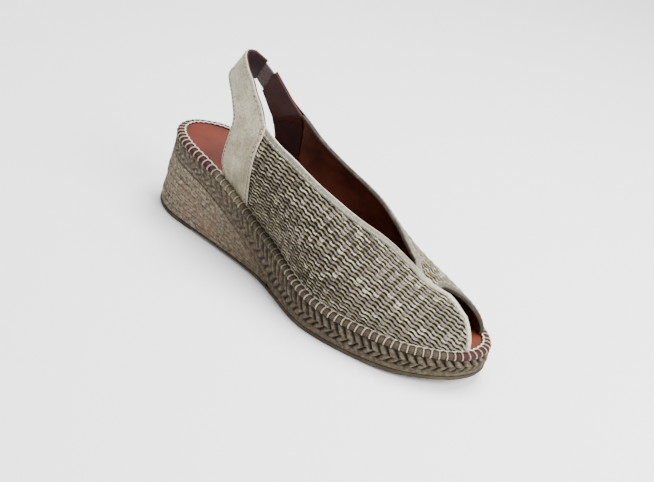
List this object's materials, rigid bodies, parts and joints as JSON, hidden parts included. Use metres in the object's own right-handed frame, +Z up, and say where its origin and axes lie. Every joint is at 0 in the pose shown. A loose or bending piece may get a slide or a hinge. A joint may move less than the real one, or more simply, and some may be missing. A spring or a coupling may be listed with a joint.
{
  "type": "slingback espadrille",
  "caption": "Right slingback espadrille with a woven crossed-panel upper, peep toe, leather heel sling and low jute wedge sole.",
  "frame": {"origin": "on the floor under the middle of the heel, on the flat of the heel pad, 25 mm ahead of the heel's back at the stitched rim", "axes": "+X from heel to toe, +Y to the inner side of the foot, so -Y is the outer side, +Z up"},
  "size_m": [0.2592, 0.0879, 0.1225],
  "materials": {
    "outsole_rubber": "matt moulded tread rubber",
    "jute": "coarse braided and wound jute rope",
    "rim_leather": "turned leather edge whipped with pale thread",
    "insole_leather": "smooth matt lining leather",
    "woven_cloth": "loose basket-like weave of cream, olive and mauve yarn",
    "strap_leather": "smooth semi-matt greige leather",
    "elastic_web": "ribbed elastic webbing"
  },
  "bodies": {
    "root": {"outsole": "outsole_rubber", "wedge": "jute", "midsole": "jute", "rim_band": "rim_leather", "insole": "insole_leather", "upper": "woven_cloth", "heel_sling": "strap_leather", "inner_strap": "strap_leather", "elastic": "elastic_web"}
  },
  "joints": []
}
